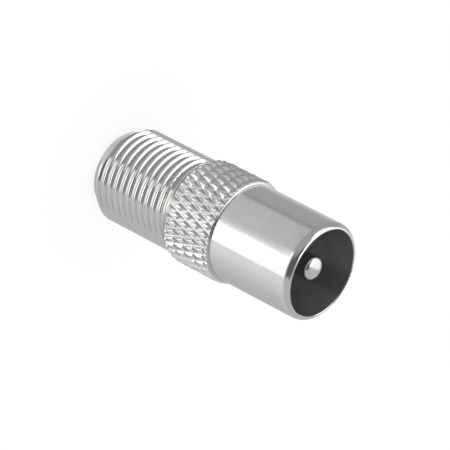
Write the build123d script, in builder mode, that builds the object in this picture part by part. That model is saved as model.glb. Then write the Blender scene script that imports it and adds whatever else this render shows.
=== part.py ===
from build123d import *
from math import ceil, cos, pi, radians, sin, tan
import os

# Coaxial adapter: F jack with an outside thread at one end, IEC plug at the other.
# Millimetres. The origin is the centre of the threaded end's face, and +Z runs
# along the common axis to the plug's mouth. Every piece is turned or moulded
# about that axis, and the adapter stands on its threaded end.

# Threaded end of the body: 3/8-32 major diameter, without the helix itself
thread_radius = 4.70
thread_length = 10.30
lead_in_depth = 0.94
lead_in_length = 1.41
relief_width = 0.40
relief_depth = 0.46

# Grip of the body, the radius just over its ridges
knurl_radius = 5.155
knurl_length = 5.39
grip_edge_chamfer = 0.16
shoulder_chamfer_depth = 0.22
shoulder_chamfer_length = 0.36

# Diamond knurl: sharp ridges that lean both ways, with a pyramid pit in each diamond
ridge_count = 38
ridge_lean = 19.3
pit_depth = 0.28
pit_overshoot = 0.05
first_row_height = -0.16
first_row_turn = 6.4

# Bore of the body, from the threaded end
mouth_radius = 2.75
mouth_chamfer = 0.20
lip_thickness = 0.90
core_bore_step = 0.35

# Outer contact of the plug, with the tail that is pressed into the body
sleeve_radius = 4.76
sleeve_wall = 0.54
sleeve_length = 9.55
rim_inner_chamfer = 0.06
rim_land = 0.02
sleeve_floor_thickness = 0.50
tail_radius = 4.30
tail_bore_radius = 2.90
tail_length = 3.50
tail_chamfer = 0.25

# Pin of the plug and the stem behind it
pin_radius = 1.17
pin_recess = 0.80
pin_tip_rounding = 0.45
pin_tip_flat_radius = 0.50
stem_radius = 0.95
stem_chamfer = 0.15

# The rim and the pin's tip are rounded by an arc of this many degrees and a cone
rounding_arc = 45

# Insulators
jack_face_recess = 0.15
jack_insulator_length = 9.85
entry_cone_radius = 1.60
entry_cone_depth = 0.95
entry_hole_radius = 0.60
entry_hole_length = 1.30
contact_room = 0.35
plug_flange_thickness = 0.70

# Spring contact
contact_wall = 0.20
contact_throat_radius = 0.35
contact_mouth_radius = 0.62
contact_flare_length = 0.50
contact_leaf_length = 3.30
contact_slot_width = 0.30
contact_slot_count = 4

# Clearances between pieces
press_gap = 0.02
tail_end_gap = 0.10
contact_end_gap = 0.20
stem_end_gap = 0.10

# Heights along the axis
knurl_start = thread_length
knurl_end = knurl_start + knurl_length
sleeve_end = knurl_end + sleeve_length
sleeve_floor = knurl_end + sleeve_floor_thickness
tail_start = knurl_end - tail_length
socket_floor = tail_start - tail_end_gap
plug_face = sleeve_floor + plug_flange_thickness
jack_insulator_end = jack_face_recess + jack_insulator_length
entry_hole_start = jack_face_recess + entry_cone_depth
contact_room_start = entry_hole_start + entry_hole_length
contact_start = contact_room_start + contact_end_gap
contact_throat = contact_start + contact_flare_length
leaf_end = contact_throat + contact_leaf_length
pin_end = sleeve_end - pin_recess
stem_start = leaf_end + stem_end_gap

# Radii that follow their seats
sleeve_bore_radius = sleeve_radius - sleeve_wall
core_bore_radius = tail_bore_radius + core_bore_step
rim_rounding = sleeve_wall - rim_inner_chamfer - rim_land
contact_bore_radius = stem_radius + press_gap
contact_radius = contact_bore_radius + contact_wall
contact_room_radius = contact_radius + contact_room

# Knurl pitches: the ridges cross at the corners of long diamonds
ridge_pitch = 2 * pi * knurl_radius / ridge_count
row_step = ridge_pitch / 2 / tan(radians(ridge_lean))
ridge_spacing = ridge_pitch * cos(radians(ridge_lean))
row_count = ceil((knurl_length - first_row_height) / row_step) + 1

# A groove between two parallel ridges is as wide as their spacing where a flat pit
# mouth meets the ridges beside it, and wider at the overshoot
ridge_height = pit_depth - knurl_radius * (1 - cos(pi / ridge_count))
groove_depth = pit_depth + pit_overshoot
groove_half_width = ridge_spacing / 2 * groove_depth / ridge_height


# Body blank: the turned outline and the stepped bore
with BuildPart() as body:
    with BuildSketch(Plane.XZ):
        with BuildLine():
            Polyline(
                (mouth_radius + mouth_chamfer, 0),
                (thread_radius - lead_in_depth, 0),
                (thread_radius, lead_in_length),
                (thread_radius, knurl_start - relief_width),
                (thread_radius - relief_depth, knurl_start - relief_width),
                (thread_radius - relief_depth, knurl_start),
                (knurl_radius - grip_edge_chamfer, knurl_start),
                (knurl_radius, knurl_start + grip_edge_chamfer),
                (knurl_radius, knurl_end - shoulder_chamfer_length),
                (knurl_radius - shoulder_chamfer_depth, knurl_end),
                (tail_radius + press_gap, knurl_end),
                (tail_radius + press_gap, socket_floor),
                (core_bore_radius, socket_floor),
                (core_bore_radius, lip_thickness),
                (mouth_radius, lip_thickness),
                (mouth_radius, mouth_chamfer),
                close=True,
            )
        make_face()
    revolve(axis=Axis.Z)

# Pit cutter: where a groove between two ridges crosses one that leans the other way
with BuildPart() as pit:
    for lean, mode in ((ridge_lean, Mode.ADD), (-ridge_lean, Mode.INTERSECT)):
        across = (0, cos(radians(lean)), -sin(radians(lean)))
        along = (0, sin(radians(lean)), cos(radians(lean)))
        with BuildSketch(Plane((knurl_radius + pit_overshoot, 0, 0), x_dir=across, z_dir=along)):
            Polygon((-groove_half_width, 0), (groove_half_width, 0), (0, groove_depth), align=None)
        extrude(amount=2 * row_step, both=True, mode=mode)

# Pit places: each row is turned half a pitch from the row below it
pit_places = []
for row in range(row_count):
    row_height = knurl_start + first_row_height + row * row_step
    row_turn = first_row_turn + (row % 2) * 180 / ridge_count
    for place in PolarLocations(0, ridge_count, start_angle=row_turn):
        pit_places.append(Location((0, 0, row_height)) * place)

# The knurl is cut last, so that the pits run out through both ends of the grip
with body:
    with Locations(*pit_places):
        add(pit.part, mode=Mode.SUBTRACT)
body.part.label = "body"


# Outer contact: a thin shell on a floor, with the tail behind it
with BuildPart() as plug_sleeve:
    with BuildSketch(Plane.XZ):
        with BuildLine():
            rim_centre = (sleeve_radius - rim_rounding, sleeve_end - rim_rounding)
            rim_arc = CenterArc(rim_centre, rim_rounding, 0, rounding_arc)
            Polyline(
                rim_arc @ 1,
                (sleeve_radius - rim_rounding, sleeve_end),
                (sleeve_bore_radius + rim_inner_chamfer, sleeve_end),
                (sleeve_bore_radius, sleeve_end - rim_inner_chamfer),
                (sleeve_bore_radius, sleeve_floor),
                (tail_bore_radius, sleeve_floor),
                (tail_bore_radius, tail_start),
                (tail_radius - tail_chamfer, tail_start),
                (tail_radius, tail_start + tail_chamfer),
                (tail_radius, knurl_end),
                (sleeve_radius, knurl_end),
                rim_arc @ 0,
            )
        make_face()
    revolve(axis=Axis.Z)
plug_sleeve.part.label = "plug_sleeve"


# Jack insulator: a bush on the lip, with the entry for a cable's centre conductor
with BuildPart() as jack_insulator:
    with BuildSketch(Plane.XZ):
        with BuildLine():
            Polyline(
                (entry_cone_radius, jack_face_recess),
                (mouth_radius - press_gap, jack_face_recess),
                (mouth_radius - press_gap, lip_thickness),
                (core_bore_radius - press_gap, lip_thickness),
                (core_bore_radius - press_gap, jack_insulator_end),
                (contact_room_radius, jack_insulator_end),
                (contact_room_radius, contact_room_start),
                (entry_hole_radius, contact_room_start),
                (entry_hole_radius, entry_hole_start),
                close=True,
            )
        make_face()
    revolve(axis=Axis.Z)
jack_insulator.part.label = "jack_insulator"


# Plug insulator: a flange on the sleeve's floor and a neck through its tail
with BuildPart() as plug_insulator:
    with BuildSketch(Plane.XZ):
        with BuildLine():
            Polyline(
                (stem_radius + press_gap, jack_insulator_end),
                (tail_bore_radius - press_gap, jack_insulator_end),
                (tail_bore_radius - press_gap, sleeve_floor),
                (sleeve_bore_radius - press_gap, sleeve_floor),
                (sleeve_bore_radius - press_gap, plug_face),
                (stem_radius + press_gap, plug_face),
                close=True,
            )
        make_face()
    revolve(axis=Axis.Z)
plug_insulator.part.label = "plug_insulator"


# Centre pin: its shoulder rests on the plug insulator, and the stem runs back from it
with BuildPart() as centre_pin:
    with BuildSketch(Plane.XZ):
        with BuildLine():
            tip_centre = (pin_radius - pin_tip_rounding, pin_end - pin_tip_rounding)
            tip_arc = CenterArc(tip_centre, pin_tip_rounding, 0, rounding_arc)
            Polyline(
                tip_arc @ 1,
                (pin_tip_flat_radius, pin_end),
                (0, pin_end),
                (0, stem_start),
                (stem_radius - stem_chamfer, stem_start),
                (stem_radius, stem_start + stem_chamfer),
                (stem_radius, plug_face),
                (pin_radius, plug_face),
                tip_arc @ 0,
            )
        make_face()
    revolve(axis=Axis.Z)
centre_pin.part.label = "centre_pin"


# Spring contact: a tube pressed on the stem, slotted into leaves that close to a throat
with BuildPart() as spring_contact:
    with BuildSketch(Plane.XZ):
        with BuildLine():
            Polyline(
                (contact_mouth_radius, contact_start),
                (contact_throat_radius, contact_throat),
                (contact_bore_radius, leaf_end),
                (contact_bore_radius, jack_insulator_end),
                (contact_radius, jack_insulator_end),
                (contact_radius, leaf_end),
                (contact_throat_radius + contact_wall, contact_throat),
                (contact_mouth_radius + contact_wall, contact_start),
                close=True,
            )
        make_face()
    revolve(axis=Axis.Z)
    with BuildSketch(Plane.XY.offset(contact_start)):
        with PolarLocations(0, contact_slot_count // 2, angular_range=180):
            Rectangle(2 * contact_radius + contact_wall, contact_slot_width)
    extrude(amount=leaf_end - contact_start, mode=Mode.SUBTRACT)
spring_contact.part.label = "spring_contact"


# One file for each piece
os.makedirs("parts", exist_ok=True)
for piece in (body, plug_sleeve, jack_insulator, plug_insulator, centre_pin, spring_contact):
    export_step(piece.part, f"parts/{piece.part.label}.step")
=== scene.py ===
import math

import bpy
from mathutils import Matrix, Vector


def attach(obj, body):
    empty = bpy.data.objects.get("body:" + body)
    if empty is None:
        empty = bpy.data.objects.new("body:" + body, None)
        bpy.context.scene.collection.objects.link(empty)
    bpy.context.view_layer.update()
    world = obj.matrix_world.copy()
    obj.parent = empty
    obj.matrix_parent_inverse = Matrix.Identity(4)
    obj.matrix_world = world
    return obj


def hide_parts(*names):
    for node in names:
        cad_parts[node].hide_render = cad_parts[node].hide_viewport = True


# Coaxial adapter, standing on its threaded end with +Z along its axis. The adapter's own
# lengths are in millimetres here and go to metres as each mesh is made.
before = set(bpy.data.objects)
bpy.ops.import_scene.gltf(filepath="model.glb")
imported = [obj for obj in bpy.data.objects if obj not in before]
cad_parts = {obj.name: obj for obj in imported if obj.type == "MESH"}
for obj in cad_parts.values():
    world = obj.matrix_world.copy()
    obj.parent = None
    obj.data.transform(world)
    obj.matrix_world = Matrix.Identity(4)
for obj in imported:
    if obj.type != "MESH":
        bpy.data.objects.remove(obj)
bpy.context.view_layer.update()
MM = 0.001

# Thread: 3/8-32, right-hand. A flank leans by OUTER_LEAN degrees from the radius down to
# OUTER_DEPTH below the crest, and by INNER_LEAN degrees from there to the root.
THREAD_R, THREAD_DEPTH, THREAD_END = 4.70, 0.46, 9.90
PITCH = 25.4 / 32
CREST_Z, CREST_HALF = 0.56, 0.05
OUTER_DEPTH, OUTER_LEAN, INNER_LEAN = 0.22, 34, 29
OUTER_FLANK = OUTER_DEPTH * math.tan(math.radians(OUTER_LEAN))
INNER_FLANK = (THREAD_DEPTH - OUTER_DEPTH) * math.tan(math.radians(INNER_LEAN))
LEAD_DEPTH, LEAD_LENGTH = 0.94, 1.41
RELIEF_R = THREAD_R - THREAD_DEPTH
# The tooth's corners are rounded by the mean of its form at these shifts along the axis
ROUNDING = (-0.02, -0.012, -0.004, 0.004, 0.012, 0.02)
# Distances from the crest's middle to the mesh's rows, close together at the corners
TOOTH_ROWS = (0.028, 0.04, 0.05, 0.06, 0.072, 0.176, 0.187, 0.198, 0.209, 0.22, 0.309, 0.32,
              0.331, 0.342, 0.353)
THREAD_SIDES, THREAD_END_SIDES = 180, 360

# Knurl: grooves that lean both ways, with a blunt raised diamond between them. At the height
# PHASE_Z, the grooves of one lean are A_PHASE of a pitch round from those of the other.
KNURL_START, KNURL_END, KNURL_R = 10.30, 15.69, 5.140
GROOVES, GROOVE_SLOPE, GROOVE_DEPTH, WALL_SLOPE = 38, 0.35, 0.29, 1.06
GROOVE_ROUNDING, DIAMOND_ROUNDING = 0.055, 0.03
STEP = 2 * math.pi / GROOVES
A_PHASE, PHASE_Z = 0.50, 13.13
ROW = STEP * KNURL_R / (2 * GROOVE_SLOPE)
GROOVE_GAP = STEP * KNURL_R / math.sqrt(1 + GROOVE_SLOPE**2)
# Places of the mesh's lines between one groove and the next, as shares of the pitch
SHARES = (0.0, 0.03, 0.06, 0.10, 0.15, 0.23, 0.31, 0.36, 0.42, 0.58, 0.64, 0.69, 0.77, 0.85,
          0.90, 0.94, 0.97)
PER = len(SHARES)
LOOP = GROOVES * PER
GRIP_SIDES = 1140

# Ends of the grip: a chamfer beside the thread, and beside the sleeve a small shoulder, where
# the grooves run out, then a flat ring and a low cone
GRIP_CHAMFER, SHOULDER_DEPTH, SHOULDER_LENGTH = 0.16, 0.03, 0.04
LEDGE_R, GRIP_END, LEDGE_OVERLAP = 4.90, 15.63, 0.02
RUN_OUT_R, RUN_OUT_SLOPE = 4.99, 0.5

# Bore of the body
MOUTH_R, MOUTH_CHAMFER, LIP, CORE_R, SEAT_R, SEAT_Z = 2.75, 0.20, 0.90, 3.25, 4.32, 12.09

# Outer contact of the plug. Its rim is a long low arc that ends in a small high one.
SLEEVE_R, SLEEVE_BORE, SLEEVE_END, SLEEVE_FLOOR = 4.76, 4.22, 25.24, 16.19
TAIL_R, TAIL_BORE, TAIL_START, TAIL_CHAMFER = 4.30, 2.90, 12.19, 0.25
RIM, RIM_TURN, RIM_HIGH, RIM_INNER = 0.46, 50, 0.25, 0.06
RIM_COS, RIM_SIN = math.cos(math.radians(RIM_TURN)), math.sin(math.radians(RIM_TURN))
RIM_LOW = (RIM - RIM_HIGH * RIM_COS) / (1 - RIM_COS)
RIM_Z = SLEEVE_END - RIM_HIGH + (RIM_HIGH - RIM_LOW) * RIM_SIN
SLEEVE_SIDES, SLEEVE_ROWS, RIM_STEPS = 256, 6, 9

# Pin of the plug, with a low dome inside its rounded edge
PIN_R, PIN_END, PIN_ROUND = 1.17, 24.44, 0.45
PIN_TURN, PIN_STEPS = 82, 14
DOME_HEIGHT, DOME_R = 0.05, 0.78
DOME_ROWS = (0.70, 0.6, 0.5, 0.4, 0.3, 0.2, 0.1, 0)
STEM_R, STEM_START, STEM_CHAMFER = 0.95, 6.5, 0.15

# Insulators
FIT = 0.02
JACK_FACE, JACK_EDGE = 0.15, 0.07
CONE_R, ENTRY_R, ENTRY_Z = 1.60, 0.60, 1.10
ROOM_R, ROOM_Z, BUSH_END = 1.52, 2.40, 10.0
PLUG_FACE, PLUG_EDGE = 16.89, 0.05


def polar(r, a, z):
    return (r * math.cos(a), r * math.sin(a), z)


def piece(name, points, faces, material, node, sharp=35):
    """Makes one visible piece, with edges over `sharp` degrees kept sharp."""
    mesh = bpy.data.meshes.new(name)
    mesh.from_pydata([(x * MM, y * MM, z * MM) for x, y, z in points], [], faces)
    mesh.update()
    mesh.polygons.foreach_set("use_smooth", [True] * len(mesh.polygons))
    mesh.set_sharp_from_angle(angle=math.radians(sharp))
    ob = bpy.data.objects.new(name, mesh)
    bpy.context.scene.collection.objects.link(ob)
    mesh.materials.append(material)
    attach(ob, "root")
    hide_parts(node)


def lathe(points, faces, profile, sides=128, closed=True):
    """Adds a turned surface: profile points (r, z), outside on the right of the way it runs."""
    rows = []
    for r, z in profile:
        start = len(points)
        if r < 1e-6:
            points.append((0, 0, z))
            rows.append([start] * sides)
        else:
            points.extend(polar(r, 2 * math.pi * i / sides, z) for i in range(sides))
            rows.append(list(range(start, start + sides)))
    pairs = list(zip(rows, rows[1:] + rows[:1])) if closed else list(zip(rows, rows[1:]))
    for low, high in pairs:
        for i in range(sides):
            j = (i + 1) % sides
            corners = []
            for v in (low[i], low[j], high[j], high[i]):
                if v not in corners:
                    corners.append(v)
            if len(corners) > 2:
                faces.append(corners)


def flat_ring(points, faces, z, inner, outer, sides, up):
    """Adds a flat ring at z between two radii, each a number or a function of the angle."""
    start = len(points)
    for i in range(sides):
        a = 2 * math.pi * i / sides
        for edge in (inner, outer):
            points.append(polar(edge(a) if callable(edge) else edge, a, z))
    for i in range(sides):
        j = (i + 1) % sides
        quad = [start + 2 * i, start + 2 * i + 1, start + 2 * j + 1, start + 2 * j]
        faces.append(quad if up else quad[::-1])


def arc(centre_r, centre_z, radius, from_angle, to_angle, steps):
    """Profile points on an arc, with its angles in degrees from the outward radius."""
    found = []
    for k in range(steps + 1):
        a = math.radians(from_angle + (to_angle - from_angle) * k / steps)
        found.append((centre_r + radius * math.cos(a), centre_z + radius * math.sin(a)))
    return found


# ---- Body: thread ----
def tooth(s):
    """Radius of the tooth before its corners are rounded, s from the crest along the axis."""
    s = abs((s + PITCH / 2) % PITCH - PITCH / 2) - CREST_HALF
    outer = min(max(s / OUTER_FLANK, 0.0), 1.0)
    inner = min(max((s - OUTER_FLANK) / INNER_FLANK, 0.0), 1.0)
    return THREAD_R - outer * OUTER_DEPTH - inner * (THREAD_DEPTH - OUTER_DEPTH)


def thread_radius(a, z):
    """Radius of the threaded end, under the cone of its lead-in."""
    s = z - CREST_Z - PITCH * a / (2 * math.pi)
    r = sum(tooth(s + shift) for shift in ROUNDING) / len(ROUNDING)
    if z < LEAD_LENGTH:
        r = min(r, THREAD_R - LEAD_DEPTH * (1 - max(z, 0) / LEAD_LENGTH))
    return r


# The rows wind along the helix: a full turn further round is one pitch of rows further up.
# They start below the face and end past the thread's end, and points beyond either of the two
# are clamped to it.
across = sorted([0.0, *TOOTH_ROWS, *(PITCH - s for s in TOOTH_ROWS)])
PER_TURN = len(across)
turns = range(-2, int(THREAD_END / PITCH) + 3)
rows = [CREST_Z + t * PITCH + s for t in turns for s in across]
grid = {}
points, faces = [], []


def thread_height(i, m):
    """Height of row m at side i before it is clamped, or below the face where no row is."""
    turn, i = divmod(i, THREAD_SIDES)
    m += turn * PER_TURN
    return rows[m] + PITCH * i / THREAD_SIDES if 0 <= m < len(rows) else -1.0


def thread_point(i, m):
    turn, i = divmod(i, THREAD_SIDES)
    m += turn * PER_TURN
    if (i, m) not in grid:
        a = 2 * math.pi * i / THREAD_SIDES
        base = rows[m] if 0 <= m < len(rows) else (rows[0] - 1 if m < 0 else rows[-1] + 1)
        z = min(max(base + PITCH * i / THREAD_SIDES, 0.0), THREAD_END)
        grid[i, m] = len(points)
        points.append(polar(thread_radius(a, z), a, z))
    return grid[i, m]


for m in range(len(rows) - PER_TURN - 1):
    for i in range(THREAD_SIDES):
        corners = [(i, m), (i + 1, m), (i + 1, m + 1), (i, m + 1)]
        if any(0 < thread_height(*c) < THREAD_END for c in corners):
            faces.append([thread_point(*c) for c in corners])

flat_ring(points, faces, 0.0, MOUTH_R + MOUTH_CHAMFER, THREAD_R - LEAD_DEPTH,
          THREAD_SIDES, False)
flat_ring(points, faces, THREAD_END, RELIEF_R, lambda a: thread_radius(a, THREAD_END),
          THREAD_END_SIDES, True)
lathe(points, faces, [(RELIEF_R, THREAD_END), (RELIEF_R, KNURL_START)], THREAD_SIDES,
      closed=False)
lathe(points, faces, [
    (CORE_R, SEAT_Z), (CORE_R, LIP), (MOUTH_R, LIP), (MOUTH_R, MOUTH_CHAMFER),
    (MOUTH_R + MOUTH_CHAMFER, 0.0)], closed=False)
thread_points, thread_faces = points, faces


# ---- Body: knurl ----
def knurl_radius(a, z):
    """Radius of the knurl: up the wall of the nearest groove to the diamond's blunt top."""
    twist = GROOVE_SLOPE * (z - PHASE_Z) / KNURL_R
    line_a = (a - twist) / STEP - A_PHASE
    line_b = (a + twist) / STEP
    near = min(abs(line_a - round(line_a)), abs(line_b - round(line_b))) * GROOVE_GAP
    wall = math.sqrt((near * WALL_SLOPE) ** 2 + GROOVE_ROUNDING**2)
    below = GROOVE_DEPTH - wall
    r = KNURL_R - 0.5 * (below + math.sqrt(below * below + DIAMOND_ROUNDING**2))
    r = min(r, KNURL_R - GRIP_CHAMFER + (z - KNURL_START))
    r = max(r, RUN_OUT_R - RUN_OUT_SLOPE * max(0.0, GRIP_END - z))
    past = max(0.0, z - GRIP_END + SHOULDER_LENGTH)
    return min(r, KNURL_R - SHOULDER_DEPTH * past / SHOULDER_LENGTH)


points, faces = [], []
net = {}


def net_place(ia, ib):
    """Angle and height where line ia along the one lean crosses line ib along the other."""
    a = ia // PER + SHARES[ia % PER] + A_PHASE
    b = ib // PER + SHARES[ib % PER]
    return STEP * (a + b) / 2, PHASE_Z + (b - a) * ROW


def net_point(ia, ib):
    turn = ia // LOOP
    key = (ia - turn * LOOP, ib - turn * LOOP)
    if key not in net:
        a, z = net_place(*key)
        z = min(max(z, KNURL_START), GRIP_END)
        net[key] = len(points)
        points.append(polar(knurl_radius(a, z), a, z))
    return net[key]


lowest = int((KNURL_START - PHASE_Z) / ROW - 1) * PER
highest = int((GRIP_END - PHASE_Z) / ROW + 2) * PER
for ia in range(LOOP):
    for ib in range(ia + lowest, ia + highest):
        corners = [(ia, ib), (ia + 1, ib), (ia + 1, ib + 1), (ia, ib + 1)]
        if any(KNURL_START < net_place(*c)[1] < GRIP_END for c in corners):
            faces.append([net_point(*c) for c in corners])

flat_ring(points, faces, KNURL_START, RELIEF_R, lambda a: knurl_radius(a, KNURL_START),
          GRIP_SIDES, False)
flat_ring(points, faces, GRIP_END, LEDGE_R, lambda a: knurl_radius(a, GRIP_END),
          GRIP_SIDES, True)
lathe(points, faces, [
    (LEDGE_R, GRIP_END), (SLEEVE_R + LEDGE_OVERLAP, KNURL_END), (SEAT_R, KNURL_END),
    (SEAT_R, SEAT_Z), (CORE_R, SEAT_Z)], closed=False)
grip_points, grip_faces = points, faces


# ---- Materials ----
def material(name):
    mat = bpy.data.materials.new(name)
    mat.use_nodes = True
    tree = mat.node_tree
    tree.nodes.clear()
    out = tree.nodes.new("ShaderNodeOutputMaterial")
    shader = tree.nodes.new("ShaderNodeBsdfPrincipled")
    tree.links.new(shader.outputs[0], out.inputs[0])
    return mat, tree, shader


def node(tree, kind, links=(), **values):
    """Adds a node: links go to inputs by number, in_N sets input N, the rest are settings."""
    made = tree.nodes.new(kind)
    for key, value in values.items():
        if key.startswith("in_"):
            made.inputs[int(key[3:])].default_value = value
        else:
            setattr(made, key, value)
    for index, source in links:
        tree.links.new(source, made.inputs[index])
    return made


def fill(tree, made, inputs):
    """Sets inputs of a node by number, each to a number or from a link."""
    for index, value in inputs:
        if isinstance(value, (int, float)):
            made.inputs[index].default_value = value
        else:
            tree.links.new(value, made.inputs[index])


def math_node(tree, operation, *values):
    made = node(tree, "ShaderNodeMath", operation=operation)
    fill(tree, made, enumerate(values))
    return made.outputs[0]


def noise(tree, place, scale, detail, roughness=0.5):
    return node(tree, "ShaderNodeTexNoise", [(0, place)], in_2=scale, in_3=detail,
                in_4=roughness).outputs[0]


def span(tree, value, start, end, low=0.0, high=1.0, shape="LINEAR"):
    """Value taken from start..end to low..high, and held past both."""
    return node(tree, "ShaderNodeMapRange", [(0, value)], interpolation_type=shape,
                in_1=start, in_2=end, in_3=low, in_4=high).outputs[0]


def tones(tree, factor, light, dark):
    return node(tree, "ShaderNodeMix", [(0, factor)], data_type="RGBA", in_6=(*light, 1),
                in_7=(*dark, 1)).outputs[2]


def bump(tree, height, strength, distance, under=None):
    made = node(tree, "ShaderNodeBump")
    made.inputs["Strength"].default_value = strength
    made.inputs["Distance"].default_value = distance
    tree.links.new(height, made.inputs["Height"])
    if under is not None:
        tree.links.new(under, made.inputs["Normal"])
    return made.outputs[0]


def turned(tree):
    """Coordinates in metres: the plain place, the radius, and a place that follows a lathe."""
    per_radian = 0.0004
    place = node(tree, "ShaderNodeTexCoord").outputs["Object"]
    x, y, z = node(tree, "ShaderNodeSeparateXYZ", [(0, place)]).outputs
    squares = math_node(tree, "ADD", math_node(tree, "MULTIPLY", x, x),
                        math_node(tree, "MULTIPLY", y, y))
    radius = math_node(tree, "SQRT", squares)
    angle = math_node(tree, "MULTIPLY", math_node(tree, "ARCTAN2", y, x), per_radian)
    mixed = node(tree, "ShaderNodeCombineXYZ", [(0, radius), (1, angle), (2, z)])
    return place, radius, mixed.outputs[0]


def nickel(name, light, dark, rough, marks, spacing=14000.0, bore=None, grit=4e-7):
    """Plated and turned metal: fine marks round the axis, faint mottling and uneven gloss.

    marks and grit are bump heights in metres, and spacing is the marks' noise scale. Inward
    from the second radius in bore to the first, the metal turns a little duller."""
    mat, tree, shader = material(name)
    place, radius, lathe_place = turned(tree)
    fine = noise(tree, lathe_place, spacing, 5.0, 0.65)
    broad = noise(tree, place, 420.0, 4.0, 0.6)
    grain = noise(tree, place, 26000.0, 3.0)
    gloss = math_node(tree, "MULTIPLY_ADD", fine, 0.10, rough - 0.05)
    gloss = math_node(tree, "MULTIPLY_ADD", broad, 0.05, gloss)
    shader.inputs["Metallic"].default_value = 1.0
    if bore:
        inside = span(tree, radius, bore[1], bore[0])
        gloss = math_node(tree, "MULTIPLY_ADD", inside, 0.01, gloss)
        metal = math_node(tree, "MULTIPLY_ADD", inside, -0.08, 1.0)
        tree.links.new(metal, shader.inputs["Metallic"])
    colour = tones(tree, span(tree, broad, 0.35, 0.65), light, dark)
    tree.links.new(colour, shader.inputs["Base Color"])
    tree.links.new(gloss, shader.inputs["Roughness"])
    grainy = bump(tree, grain, 0.35, grit)
    tree.links.new(bump(tree, fine, 1.0, marks, grainy), shader.inputs["Normal"])
    return mat


def plastic(name, light, dark, rough, specks):
    """Moulded or turned plastic with a faint cloud and a fine pitted skin."""
    mat, tree, shader = material(name)
    place, _, lathe_place = turned(tree)
    cloud = noise(tree, place, 500.0, 5.0, 0.6)
    skin = noise(tree, place, 12000.0, 4.0, 0.6)
    marks = noise(tree, lathe_place, 5000.0, 3.0)
    colour = tones(tree, span(tree, cloud, 0.3, 0.7), light, dark)
    gloss = math_node(tree, "MULTIPLY_ADD", skin, 0.18, rough - 0.09)
    height = math_node(tree, "ADD", skin, marks)
    tree.links.new(colour, shader.inputs["Base Color"])
    tree.links.new(gloss, shader.inputs["Roughness"])
    tree.links.new(bump(tree, height, 0.6, specks), shader.inputs["Normal"])
    return mat


# Painted light: the thread's nickel is a lighter copy of the grip's, which lifts the shade
# between the thread's flanks. Its mottling is the metal's own.
lightened_thread_metal = nickel("nickel_thread_lightened", (0.79, 0.785, 0.775), (0.75, 0.745, 0.735), 0.10, 5e-7)
grip_metal = nickel("nickel_grip", (0.76, 0.755, 0.75), (0.70, 0.695, 0.69), 0.13, 6e-7,
                    grit=3e-6)
sleeve_metal = nickel("nickel_sleeve", (0.745, 0.745, 0.745), (0.715, 0.715, 0.715), 0.10,
                      1.1e-5, 4500.0, bore=(4.24 * MM, 4.35 * MM))
pin_metal = nickel("nickel_pin", (0.75, 0.75, 0.745), (0.71, 0.71, 0.705), 0.10, 6e-7)
spring = nickel("spring_metal", (0.78, 0.62, 0.38), (0.70, 0.52, 0.30), 0.20, 6e-7)
white_plastic = plastic("white_insulator", (0.82, 0.81, 0.78), (0.77, 0.76, 0.72), 0.42, 3e-6)
dark_plastic = plastic("dark_insulator", (0.175, 0.17, 0.165), (0.135, 0.131, 0.127), 0.45,
                       3e-6)

piece("body_thread", thread_points, thread_faces, lightened_thread_metal, "body", sharp=28)
piece("body_grip", grip_points, grip_faces, grip_metal, "body", sharp=28)

# ---- Outer contact of the plug ----
points, faces = [], []
profile = [
    (TAIL_BORE, TAIL_START), (TAIL_R - TAIL_CHAMFER, TAIL_START),
    (TAIL_R, TAIL_START + TAIL_CHAMFER), (TAIL_R, KNURL_END), (SLEEVE_R, KNURL_END)]
profile += [(SLEEVE_R, KNURL_END + (RIM_Z - KNURL_END) * k / SLEEVE_ROWS)
            for k in range(1, SLEEVE_ROWS)]
profile += arc(SLEEVE_R - RIM_LOW, RIM_Z, RIM_LOW, 0, RIM_TURN, RIM_STEPS)
profile += arc(SLEEVE_R - RIM, SLEEVE_END - RIM_HIGH, RIM_HIGH, RIM_TURN, 90, RIM_STEPS)[1:]
profile += [
    (SLEEVE_BORE + RIM_INNER, SLEEVE_END), (SLEEVE_BORE, SLEEVE_END - RIM_INNER),
    (SLEEVE_BORE, SLEEVE_FLOOR), (TAIL_BORE, SLEEVE_FLOOR)]
lathe(points, faces, profile, SLEEVE_SIDES)
piece("sleeve_metal", points, faces, sleeve_metal, "plug_sleeve")

# ---- Pin ----
points, faces = [], []
profile = [
    (0, STEM_START), (STEM_R - STEM_CHAMFER, STEM_START), (STEM_R, STEM_START + STEM_CHAMFER),
    (STEM_R, PLUG_FACE), (PIN_R, PLUG_FACE)]
profile += arc(PIN_R - PIN_ROUND, PIN_END - PIN_ROUND - DOME_HEIGHT, PIN_ROUND, 0, PIN_TURN,
               PIN_STEPS)
profile += [(r, PIN_END - DOME_HEIGHT * (r / DOME_R) ** 2) for r in DOME_ROWS]
lathe(points, faces, profile, closed=False)
piece("pin_metal", points, faces, pin_metal, "centre_pin")

# ---- Insulators ----
points, faces = [], []
lathe(points, faces, [
    (ENTRY_R, ENTRY_Z), (CONE_R, JACK_FACE), (MOUTH_R - FIT - JACK_EDGE, JACK_FACE),
    (MOUTH_R - FIT, JACK_FACE + JACK_EDGE), (MOUTH_R - FIT, LIP), (CORE_R - FIT, LIP),
    (CORE_R - FIT, BUSH_END), (ROOM_R, BUSH_END), (ROOM_R, ROOM_Z), (ENTRY_R, ROOM_Z)])
piece("jack_bush", points, faces, white_plastic, "jack_insulator")

points, faces = [], []
lathe(points, faces, [
    (STEM_R + FIT, BUSH_END), (TAIL_BORE - FIT, BUSH_END), (TAIL_BORE - FIT, SLEEVE_FLOOR),
    (SLEEVE_BORE - FIT, SLEEVE_FLOOR), (SLEEVE_BORE - FIT, PLUG_FACE - PLUG_EDGE),
    (SLEEVE_BORE - FIT - PLUG_EDGE, PLUG_FACE), (STEM_R + FIT, PLUG_FACE)])
piece("plug_bush", points, faces, dark_plastic, "plug_insulator")

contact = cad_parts["spring_contact"]
contact.data.materials.clear()
contact.data.materials.append(spring)

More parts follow.
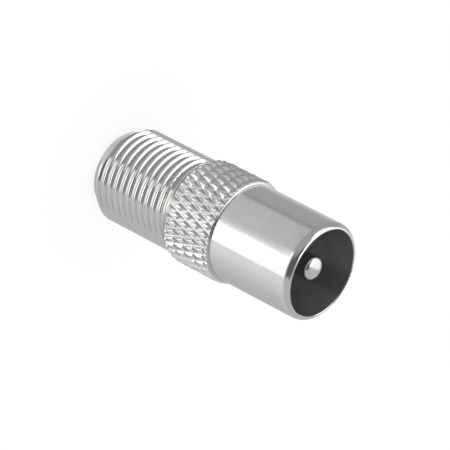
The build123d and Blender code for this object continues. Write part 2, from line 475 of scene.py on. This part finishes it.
# ---- Floor: white where it is seen, a white light for matt parts, and open from below ----
FLOOR_HALF, FLOOR_GLOW, FLOOR_GLOW_SHARE = 3, 1.03, 0.8
mesh = bpy.data.meshes.new("floor")
mesh.from_pydata([(x * FLOOR_HALF, y * FLOOR_HALF, 0)
                  for x, y in ((-1, -1), (1, -1), (1, 1), (-1, 1))], [], [(0, 1, 2, 3)])
floor = bpy.data.objects.new("floor", mesh)
bpy.context.scene.collection.objects.link(floor)
mat, tree, shader = material("floor")
shader.inputs["Base Color"].default_value = (0.97, 0.97, 0.97, 1)
shader.inputs["Roughness"].default_value = 0.9
shader.inputs["Specular IOR Level"].default_value = 0.0
path = node(tree, "ShaderNodeLightPath").outputs
seen = math_node(tree, "MAXIMUM", path["Is Camera Ray"],
                 math_node(tree, "MAXIMUM", path["Is Glossy Ray"],
                           path["Is Transmission Ray"]))
shine = math_node(tree, "MAXIMUM", math_node(tree, "MULTIPLY", seen, FLOOR_GLOW_SHARE),
                  path["Is Diffuse Ray"])
glow = node(tree, "ShaderNodeEmission", in_0=(1, 1, 1, 1), in_1=FLOOR_GLOW)
lit = node(tree, "ShaderNodeMixShader",
           [(0, shine), (1, shader.outputs[0]), (2, glow.outputs[0])])
clear = node(tree, "ShaderNodeBsdfTransparent")
behind = node(tree, "ShaderNodeNewGeometry").outputs["Backfacing"]
open_below = node(tree, "ShaderNodeMixShader",
                  [(0, behind), (1, lit.outputs[0]), (2, clear.outputs[0])])
tree.links.new(open_below.outputs[0], tree.nodes["Material Output"].inputs[0])
mesh.materials.append(mat)
floor.visible_glossy = False

# ---- World: even light for everything matt, and a studio's broad bands for reflections ----
world = bpy.data.worlds.new("studio")
bpy.context.scene.world = world
world.use_nodes = True
tree = world.node_tree
tree.nodes.clear()
direction = node(tree, "ShaderNodeTexCoord").outputs["Generated"]
x, y, z = node(tree, "ShaderNodeSeparateXYZ", [(0, direction)]).outputs
turn = math_node(tree, "MULTIPLY_ADD", math_node(tree, "ARCTAN2", y, x), 1 / (2 * math.pi), 0.5)


def smooth(value, start, end, low=0.0, high=1.0):
    return span(tree, value, start, end, low, high, "SMOOTHSTEP")


def times(a, b):
    return math_node(tree, "MULTIPLY", a, b)


def blend(factor, under, over):
    made = node(tree, "ShaderNodeMix", [(0, factor)])
    fill(tree, made, ((2, under), (3, over)))
    return made.outputs[0]


def levels(bands):
    """Brightness by azimuth, from pairs of degrees and level."""
    made = node(tree, "ShaderNodeValToRGB", [(0, turn)])
    stops = made.color_ramp.elements
    for angle, _ in bands[1:-1]:
        stops.new((angle + 180) / 360)
    for stop, (_, level) in zip(stops, bands):
        stop.color = (level, level, level, 1)
    return made.outputs[0]


def patch(azimuth, elevation, inner, outer):
    """1 inside a round patch of sky, 0 outside it, with a soft edge between two angles."""
    a, e = math.radians(azimuth), math.radians(elevation)
    centre = (math.cos(a) * math.cos(e), math.sin(a) * math.cos(e), math.sin(e))
    dot = node(tree, "ShaderNodeVectorMath", [(0, direction)], operation="DOT_PRODUCT",
               in_1=centre)
    return smooth(dot.outputs["Value"], math.cos(math.radians(outer)),
                  math.cos(math.radians(inner)))


# Sky by height, from the photograph's view: the upright sleeve mirrors low, what leans 4 to
# 14 degrees up mirrors middle, and the thread's upper flanks mirror high
low = levels([
    (-180, 0.45), (-178, 0.385), (-169, 0.385), (-167, 0.60), (-44, 0.72), (-41, 0.72),
    (-39, 0.95), (-26, 0.88), (-14, 0.80), (-2, 0.73), (10, 0.66), (22, 0.61), (34, 0.58),
    (58, 0.53), (75, 0.52), (100, 0.72), (118, 0.64), (130, 0.50), (136, 0.45), (180, 0.45)])
middle = levels([
    (-180, 0.42), (-110, 0.40), (-92, 0.38), (-88, 0.34), (-52, 0.34), (-44, 0.80),
    (-20, 0.80), (10, 0.68), (50, 0.60), (100, 0.60), (120, 0.50), (150, 0.42), (180, 0.42)])
high = levels([
    (-180, 0.44), (-112, 0.44), (-98, 0.32), (-90, 0.26), (-60, 0.26), (-50, 0.63),
    (0, 0.65), (90, 0.65), (125, 0.60), (140, 0.40), (180, 0.42)])

# High in front: two dark patches on -X, and on +X one wide dark patch in an even grey, which
# a slanting plane cuts off
high = blend(patch(-70, 34, 16, 28), high, 0.12)
high = blend(patch(-85, 66, 20, 34), high, 0.12)
side = math_node(tree, "MULTIPLY_ADD", x, 0.9205, times(y, 0.3907))
front = blend(patch(-75, 48, 44, 54), 0.65, smooth(y, -0.38, -0.32, 0.12, 0.28))
front = blend(smooth(side, 0.295, 0.335), front, 0.57)
high = blend(smooth(x, -0.02, 0.02), high, front)

# The lamp above, on -X, which the thread's upper flanks mirror
above = times(smooth(x, 0.0, -0.03), times(smooth(y, -0.31, -0.26), smooth(z, 0.40, 0.47)))
high = blend(above, high, smooth(y, 0.45, 0.70, 1.7, 1.25))
level = blend(smooth(z, -0.53, -0.46), low, middle)
level = blend(smooth(z, -0.16, 0.02), level, high)

# The low strip lamp in front: its left edge is soft and wavers where the upright sleeve
# mirrors it, and is harder above
streaks = node(tree, "ShaderNodeTexNoise", [(1, z)], noise_dimensions="1D", in_2=45.0,
               in_3=2.0).outputs[0]
leaning = math_node(tree, "MULTIPLY_ADD", z, 0.10, turn)
leaning = math_node(tree, "MULTIPLY_ADD", streaks, 0.10, leaning)
slanted = math_node(tree, "ADD", turn, smooth(z, -0.68, -0.48, -0.03, 0.03))
left = blend(smooth(z, -0.53, -0.47), smooth(leaning, 0.236, 0.270),
             smooth(slanted, 0.240, 0.2535))
strip = times(times(left, smooth(turn, 0.3789, 0.3767)), smooth(z, -0.24, -0.29))
level = blend(strip, level, smooth(z, -0.56, -0.50, 1.95, 1.5))

glossy = node(tree, "ShaderNodeLightPath").outputs["Is Glossy Ray"]
background = node(tree, "ShaderNodeBackground", [(1, blend(glossy, 1.0, level))],
                  in_0=(1, 1, 1, 1))
node(tree, "ShaderNodeOutputWorld", [(0, background.outputs[0])])
world.cycles.sampling_method = "NONE"

# ---- Camera: the photograph's view, with the adapter's axis running down to the right ----
TILT, ROLL = math.radians(54.7888), math.radians(27.4011)
DISTANCE, LENS, SENSOR = 0.3297191, 288.708, 36
aim = Vector((0.1752, 0.0, 13.3218)) * MM
back = Vector((0, -math.sin(TILT), math.cos(TILT)))
level_right = Vector((1, 0, 0))
level_up = Vector((0, math.cos(TILT), math.sin(TILT)))
right = level_up * math.cos(ROLL) - level_right * math.sin(ROLL)
up = -level_right * math.cos(ROLL) - level_up * math.sin(ROLL)
camera = bpy.data.objects.new("camera", bpy.data.cameras.new("camera"))
bpy.context.scene.collection.objects.link(camera)
camera.data.sensor_width = SENSOR
camera.data.lens = LENS
camera.data.clip_start, camera.data.clip_end = 0.01, 10
place = aim + back * DISTANCE
camera.matrix_world = Matrix((
    (right.x, up.x, back.x, place.x),
    (right.y, up.y, back.y, place.y),
    (right.z, up.z, back.z, place.z),
    (0, 0, 0, 1)))
bpy.context.scene.camera = camera
bpy.context.scene.view_settings.view_transform = "Standard"
